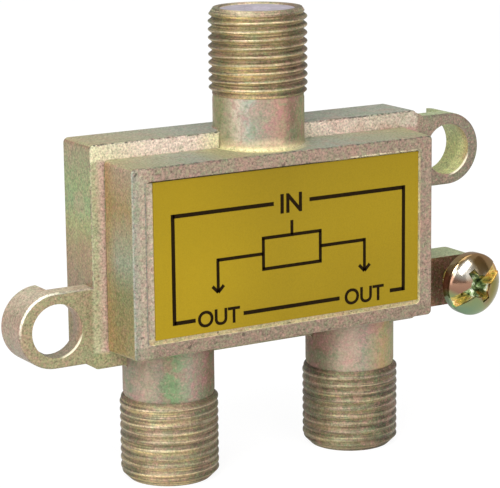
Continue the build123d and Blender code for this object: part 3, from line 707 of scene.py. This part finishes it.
barrel = {
    "pitch": 25.4 / 32 * mm,
    "turns": 10,
    "chamfer": 0.32 * mm,
    "crestRadius": 4.7625 * mm,
    "rootRadius": {"in": 4.40 * mm, "out_left": 4.63 * mm, "out_right": 4.63 * mm},
    "neckRadius": 4.43 * mm,
    "lipRadius": {"in": 4.27 * mm, "out_left": 4.0 * mm, "out_right": 4.0 * mm},
    "lipSlope": {"in": 0.7, "out_left": 1.0, "out_right": 1.0},
    "phase": {"in": 0.27 * mm, "out_left": 0.0, "out_right": 0.0},
    "lipInner": 3.8 * mm,
    "boreRadius": 3.6 * mm,
    "innerChamfer": 0.16 * mm,
    "runOut": 0.35 * mm,
    "stepsPerTurn": 96,
    "pointsPerPitch": 12,
}
threadStart = mouthHeight - barrel["chamfer"] - barrel["turns"] * barrel["pitch"]


def threadShape(share, flat=0.1):
    rise = min(max((abs(2 * share - 1) - flat) / (1 - 2 * flat), 0), 1)
    return 0.5 * rise + 0.5 * rise * rise * (3 - 2 * rise)


def turnedThread(centre, low, high, pitch, root, crest, steps, points, phase, spare=2):
    bm = bmesh.new()
    bottom = low + phase - spare * pitch
    count = (int((high - low) / pitch) + 2 * spare) * steps
    columns = []
    for step in range(count):
        angle = 2 * pi * step / steps
        column = []
        for index in range(points):
            share = index / points
            radius = root + (crest - root) * threadShape(share)
            column.append(bm.verts.new((
                centre[0] + radius * cos(angle), centre[1] + radius * sin(angle),
                bottom + (step / steps + share) * pitch)))
        columns.append(column)
    for step in range(count - steps - 1):  # the top of each turn is the foot of the next
        near = columns[step] + [columns[step + steps][0]]
        after = columns[step + 1] + [columns[step + steps + 1][0]]
        for index in range(points):
            bm.faces.new((near[index], after[index], after[index + 1], near[index + 1]))
    cut(bm, (0, 0, high), (0, 0, 1))
    cut(bm, (0, 0, low), (0, 0, -1))
    bmesh.ops.delete(bm, geom=[vert for vert in bm.verts if not vert.link_faces], context="VERTS")
    return bm


def ringAfter(bm, edges, centre, radius, height):
    made = bmesh.ops.extrude_edge_only(bm, edges=edges)["geom"]
    for vert in [item for item in made if isinstance(item, bmesh.types.BMVert)]:
        angle = atan2(vert.co.y - centre[1], vert.co.x - centre[0])
        vert.co = (centre[0] + radius * cos(angle), centre[1] + radius * sin(angle), height)
    return [item for item in made if isinstance(item, bmesh.types.BMEdge)]


def makeBarrel(name, way):
    low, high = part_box(name + "_insulator")
    centre = ((low.x + high.x) / 2, (low.y + high.y) / 2)
    ends = sorted((way * threadStart, way * mouthHeight))
    bm = turnedThread(
        centre, ends[0], ends[1], barrel["pitch"], barrel["rootRadius"][name], barrel["crestRadius"],
        barrel["stepsPerTurn"], barrel["pointsPerPitch"], barrel["phase"][name])
    for vert in bm.verts:
        acrossX, acrossY = vert.co.x - centre[0], vert.co.y - centre[1]
        radius = hypot(acrossX, acrossY)
        fromMouth = mouthHeight - way * vert.co.z
        fromStart = way * vert.co.z - threadStart
        wanted = min(radius, barrel["lipRadius"][name] + barrel["lipSlope"][name] * fromMouth)
        blend = min(max(fromStart / barrel["runOut"], 0), 1)
        wanted = barrel["neckRadius"] + (wanted - barrel["neckRadius"]) * blend * blend * (3 - 2 * blend)
        vert.co.x = centre[0] + acrossX * wanted / radius
        vert.co.y = centre[1] + acrossY * wanted / radius
    mouthEdges = [edge for edge in openEdges(bm) if abs(edge.verts[0].co.z - way * mouthHeight) < 0.01 * mm]
    rings = [
        (barrel["lipInner"], mouthHeight),
        (barrel["boreRadius"], mouthHeight - barrel["innerChamfer"]),
        (barrel["boreRadius"], threadStart),
    ]
    for radius, height in rings:
        mouthEdges = ringAfter(bm, mouthEdges, centre, radius, way * height)
    bmesh.ops.bridge_loops(bm, edges=openEdges(bm))
    bmesh.ops.recalc_face_normals(bm, faces=bm.faces)
    finish = barrelMaterial(
        name + " barrel finish", *centre, barrel["rootRadius"][name], threadGain[name], threadWash[name])
    piece = newPiece(name + "_barrel", bm, [finish], bodyNames["fixed"])
    smoothByAngle(piece, 36)
    return piece


for portName, portWay in ports.items():
    makeBarrel(portName, portWay)
print("barrels made")


# Casting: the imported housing, cut where the barrels take over

def makeCasting():
    bm = mergedMesh("housing")
    for way in (1, -1):
        cut(bm, (0, 0, way * threadStart), (0, 0, way))
    edges = openEdges(bm)
    for name, way in ports.items():
        low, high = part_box(name + "_insulator")
        middle = Vector(((low.x + high.x) / 2, (low.y + high.y) / 2, way * threadStart))
        near = [edge for edge in edges if (edge.verts[0].co - middle).length < 2 * barrel["neckRadius"]]
        if near:
            bmesh.ops.bridge_loops(bm, edges=near)
    piece = newPiece("casting", bm, [castingFinish], bodyNames["fixed"])
    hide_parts("housing")
    smoothByAngle(piece, 32)
    return piece


makeCasting()
print("casting made")


# Label print: generic port words, bracket lines and a splitting sign

labelPrint = {
    "lift": 0.02 * mm,
    "stroke": 0.38 * mm,
    "bold": 0.32 * mm,
    "swell": 0.02,
    "signMiddle": 0.5,
    "signFeet": (-7.7, 8.8),
    "sign": {"half": 3.2, "low": -2.0, "high": 1.0, "bar": -0.5, "foot": -3.6, "top": 2.4, "barb": 0.62},
    "left": -12.46,
    "right": 13.4,
    "top": 4.2,
    "bottom": -6.0,
    "inStart": -1.5,
    "inEnd": 2.5,
    "outLeftStart": -10.2,
    "outLeftEnd": -4.96,
    "outRightStart": 5.9,
    "outRightEnd": 11.8,
    "letterHeight": 1.83 * mm,
}
labelLow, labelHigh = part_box("label")
printDepth = labelLow.y - labelPrint["lift"]


def addStroke(bm, start, end, width=None):
    half = (width or labelPrint["stroke"]) / 2
    first = Vector((start[0] * mm, 0, start[1] * mm))
    last = Vector((end[0] * mm, 0, end[1] * mm))
    along = (last - first).normalized()
    side = Vector((-along.z, 0, along.x)) * half
    corners = [first - side, last - side, last + side, first + side]
    front = [bm.verts.new((point.x, printDepth, point.z)) for point in corners]
    back = [bm.verts.new((point.x, printDepth + 0.9 * labelPrint["lift"], point.z)) for point in corners]
    bm.faces.new(front)
    bm.faces.new(back[::-1])
    for index in range(4):
        after = (index + 1) % 4
        bm.faces.new((front[after], front[index], back[index], back[after]))


def addWord(bm, text, middleX, middleZ, height):
    curve = bpy.data.curves.new("word", "FONT")
    curve.body = text
    curve.align_x = "CENTER"
    curve.align_y = "CENTER"
    curve.size = height / 0.7
    curve.offset = labelPrint["swell"] * curve.size
    curve.resolution_u = 6
    curve.extrude = 0.45 * labelPrint["lift"]
    holder = bpy.data.objects.new("word", curve)
    mesh = bpy.data.meshes.new_from_object(holder)
    bpy.data.objects.remove(holder)
    mesh.transform(Matrix.Rotation(radians(90), 4, "X"))
    low = Vector((min(v.co[i] for v in mesh.vertices) for i in range(3)))
    high = Vector((max(v.co[i] for v in mesh.vertices) for i in range(3)))
    depth = labelLow.y - curve.extrude
    shift = Vector((middleX * mm, depth, middleZ * mm)) - (low + high) / 2
    mesh.transform(Matrix.Translation(shift))
    bm.from_mesh(mesh)
    bpy.data.meshes.remove(mesh)


def makeLabelPrint():
    p = labelPrint
    bm = bmesh.new()
    half = p["stroke"] / mm / 2
    addStroke(bm, (p["left"], p["bottom"] - half), (p["left"], p["top"] + half))
    addStroke(bm, (p["left"], p["top"]), (p["inStart"], p["top"]))
    addStroke(bm, (p["inEnd"], p["top"]), (p["right"], p["top"]))
    addStroke(bm, (p["right"], p["top"] + half), (p["right"], p["bottom"] - half))
    addStroke(bm, (p["left"], p["bottom"]), (p["outLeftStart"], p["bottom"]))
    addStroke(bm, (p["outLeftEnd"], p["bottom"]), (p["outRightStart"], p["bottom"]))
    addStroke(bm, (p["outRightEnd"], p["bottom"]), (p["right"], p["bottom"]))
    middle, sign = p["signMiddle"], p["sign"]
    for side, foot in ((-1, p["signFeet"][0]), (1, p["signFeet"][1])):  # a box that feeds two arrows
        addStroke(bm, (middle + side * sign["half"], sign["bar"]), (foot, sign["bar"]), p["bold"])
        addStroke(bm, (foot, sign["bar"] + p["bold"] / mm / 2), (foot, sign["foot"]), p["bold"])
        for slant in (-1, 1):
            addStroke(bm, (foot + slant * sign["barb"], sign["foot"] + sign["barb"]), (foot, sign["foot"]), p["bold"])
        addStroke(bm, (middle + side * sign["half"], sign["low"]), (middle + side * sign["half"], sign["high"]), p["bold"])
    for edge in ("low", "high"):
        reach = sign["half"] + p["bold"] / mm / 2
        addStroke(bm, (middle - reach, sign[edge]), (middle + reach, sign[edge]), p["bold"])
    addStroke(bm, (middle, sign["high"]), (middle, sign["top"]), p["bold"])
    addWord(bm, "IN", 0.45, p["top"] - 0.1, p["letterHeight"])
    addWord(bm, "OUT", -7.65, p["bottom"], 0.83 * p["letterHeight"])
    addWord(bm, "OUT", 8.78, p["bottom"], 0.83 * p["letterHeight"])
    bmesh.ops.recalc_face_normals(bm, faces=bm.faces)
    return newPiece("label_print", bm, [inkFinish], bodyNames["fixed"])


makeLabelPrint()
print("label print made")


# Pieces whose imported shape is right

def makeGroundScrew():
    low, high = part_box("ground_screw")
    middle = (low + high) / 2
    bm = bmesh.new()
    bmesh.ops.create_cone(
        bm, cap_ends=True, segments=48, radius1=screwHead["wellRadius"], radius2=screwHead["wellBottom"],
        depth=screwHead["wellDepth"] + 0.2 * mm)
    turn = Matrix.Rotation(radians(-90), 4, "X")
    bmesh.ops.transform(bm, matrix=turn, verts=bm.verts)
    bmesh.ops.translate(bm, verts=bm.verts, vec=(
        middle.x, low.y + screwHead["wellDepth"] / 2 - 0.1 * mm, middle.z))
    cutterMesh = bpy.data.meshes.new("well")
    bm.to_mesh(cutterMesh)
    bm.free()
    cutter = bpy.data.objects.new("well", cutterMesh)
    bm = mergedMesh("ground_screw")
    mesh = bpy.data.meshes.new("screw")
    bm.to_mesh(mesh)
    bm.free()
    holder = bpy.data.objects.new("screw", mesh)
    for item in (cutter, holder):
        bpy.context.scene.collection.objects.link(item)
    sink = holder.modifiers.new("Recess", "BOOLEAN")
    sink.operation = "DIFFERENCE"
    sink.object = cutter
    finished = bpy.data.meshes.new_from_object(holder.evaluated_get(bpy.context.evaluated_depsgraph_get()))
    for item in (cutter, holder):
        bpy.data.objects.remove(item)
    bm = bmesh.new()
    bm.from_mesh(finished)
    for spare in (cutterMesh, mesh, finished):
        bpy.data.meshes.remove(spare)
    bmesh.ops.remove_doubles(bm, verts=bm.verts, dist=0.0005 * mm)
    print("screw edges with a gap:", len(openEdges(bm)))
    piece = newPiece("ground_screw_dressed", bm, [screwFinish], bodyNames["screw"])
    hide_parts("ground_screw")
    smoothByAngle(piece)


makeGroundScrew()
dressNode("rear_cover", "rear_cover_dressed", coverFinish)
dressNode("label", "label_plate", labelFinish)
for portName in ports:
    dressNode(portName + "_insulator", portName + "_mouth_insulator", insulatorFinish)

nodeFinishes = {
    "cover_seal": sealFinish,
    "circuit_board": laminateFinish,
    "matching_core": ferriteFinish,
    "splitting_core": ferriteFinish,
    "matching_winding": wireFinish,
    "splitting_winding": wireFinish,
    "isolation_resistor": bodyFinish,
    "trim_capacitor": bodyFinish,
    "input_capacitor": discFinish,
}
for portName in ports:
    nodeFinishes[portName + "_contact"] = bronzeFinish
    nodeFinishes[portName + "_rear_insulator"] = insulatorFinish
    nodeFinishes[portName + "_solder"] = solderFinish
for node, finish in nodeFinishes.items():
    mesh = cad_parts[node].data
    if len(mesh.materials) == 0:
        mesh.materials.append(finish)
    for index in range(len(mesh.materials)):
        mesh.materials[index] = finish
print("carried-over pieces dressed")


# Studio: pale floor, soft lamps, white background

studio = {
    "floorSize": 3.0,
    "worldStrength": 0.62,
    "key": {"place": (-0.46, -0.38, 0.55), "size": (0.35, 0.35), "power": 4.6},
    "fill": {"place": (0.16, -0.62, 0.10), "size": (0.40, 0.40), "power": 0.3},
    "top": {"place": (0.05, -0.05, 0.70), "size": (0.50, 0.50), "power": 1.3},
    "strip": {"place": (0.0, -0.49, 0.34), "size": (0.13, 0.42), "power": 0.85, "lean": -56},
    "window": {"place": (-0.36, -0.43, 0.16), "size": (0.10, 0.42), "power": 0.42, "lean": -27},
    "card": {"place": (0.39, -0.30, 0.24), "half": 0.16},
}
camera = {
    "place": (-113.478, -194.211, 47.205),
    "right": (0.85817, -0.51324, -0.01092),
    "up": (0.11836, 0.17711, 0.97705),
    "ahead": (0.49953, 0.83977, -0.21273),
    "lens": 166.77,
    "sensor": 36.0,
    "shift": -0.0016,
}


def makeFloor():
    bm = bmesh.new()
    bmesh.ops.create_grid(bm, x_segments=4, y_segments=4, size=studio["floorSize"] / 2)
    bmesh.ops.translate(bm, verts=bm.verts, vec=(0, 0, cadBox[0][2]))
    mesh = bpy.data.meshes.new("floor")
    bm.to_mesh(mesh)
    bm.free()
    floor = bpy.data.objects.new("floor", mesh)
    bpy.context.scene.collection.objects.link(floor)
    material, tree, shader = newMaterial("pale floor")
    shader.inputs["Base Color"].default_value = (0.86, 0.86, 0.86, 1)
    shader.inputs["Roughness"].default_value = 0.8
    path = tree.nodes.new("ShaderNodeLightPath")
    glow = tree.nodes.new("ShaderNodeEmission")
    glow.inputs["Strength"].default_value = 1.06
    blend = tree.nodes.new("ShaderNodeMixShader")
    seen = calculate(tree, "MULTIPLY", path.outputs["Is Camera Ray"], 0.86)
    output = [node for node in tree.nodes if node.type == "OUTPUT_MATERIAL"][0]
    tree.links.new(seen, blend.inputs[0])
    tree.links.new(shader.outputs["BSDF"], blend.inputs[1])
    tree.links.new(glow.outputs["Emission"], blend.inputs[2])
    tree.links.new(blend.outputs["Shader"], output.inputs["Surface"])
    mesh.materials.append(material)


def makeCard():
    bm = bmesh.new()
    bmesh.ops.create_grid(bm, x_segments=2, y_segments=2, size=studio["card"]["half"])
    mesh = bpy.data.meshes.new("dark card")
    bm.to_mesh(mesh)
    bm.free()
    card = bpy.data.objects.new("dark card", mesh)
    place = Vector(studio["card"]["place"])
    card.matrix_world = Matrix.Translation(place) @ (-place).to_track_quat("Z", "Y").to_matrix().to_4x4()
    bpy.context.scene.collection.objects.link(card)
    material, tree, shader = newMaterial("dark card")
    shader.inputs["Base Color"].default_value = (0.2, 0.17, 0.14, 1)
    shader.inputs["Roughness"].default_value = 0.9
    mesh.materials.append(material)


def makeWorld():
    world = bpy.data.worlds.new("studio")
    bpy.context.scene.world = world
    world.use_nodes = True
    tree = world.node_tree
    tree.nodes.clear()
    output = tree.nodes.new("ShaderNodeOutputWorld")
    room = tree.nodes.new("ShaderNodeBackground")
    room.inputs["Strength"].default_value = studio["worldStrength"]
    white = tree.nodes.new("ShaderNodeBackground")
    white.inputs["Strength"].default_value = 1.0
    white.inputs["Color"].default_value = (1, 1, 1, 1)
    path = tree.nodes.new("ShaderNodeLightPath")
    blend = tree.nodes.new("ShaderNodeMixShader")
    tree.links.new(path.outputs["Is Camera Ray"], blend.inputs[0])
    tree.links.new(room.outputs["Background"], blend.inputs[1])
    tree.links.new(white.outputs["Background"], blend.inputs[2])
    tree.links.new(blend.outputs["Shader"], output.inputs["Surface"])


def addLamp(name, place, size, power, lean=0):
    light = bpy.data.lights.new(name, "AREA")
    light.shape = "RECTANGLE"
    light.size, light.size_y = size
    light.energy = power
    lamp = bpy.data.objects.new(name, light)
    lamp.location = place
    aim = (-Vector(place)).to_track_quat("-Z", "Y").to_matrix()
    lamp.rotation_euler = (aim @ Matrix.Rotation(radians(lean), 3, "Z")).to_euler()
    bpy.context.scene.collection.objects.link(lamp)


def addCamera():
    data = bpy.data.cameras.new("camera")
    data.sensor_fit = "HORIZONTAL"
    data.sensor_width = camera["sensor"]
    data.lens = camera["lens"]
    data.clip_start = 10 * mm
    data.shift_x = camera["shift"]
    holder = bpy.data.objects.new("camera", data)
    columns = Matrix((camera["right"], camera["up"], [-part for part in camera["ahead"]])).transposed()
    holder.matrix_world = Matrix.Translation(Vector(camera["place"]) * mm) @ columns.to_4x4()
    bpy.context.scene.collection.objects.link(holder)
    bpy.context.scene.camera = holder


makeFloor()
makeWorld()
makeCard()
for lampName in ("key", "fill", "top", "strip", "window"):
    addLamp(lampName, **studio[lampName])
addCamera()
bpy.context.scene.view_settings.view_transform = "Standard"
print("studio made")
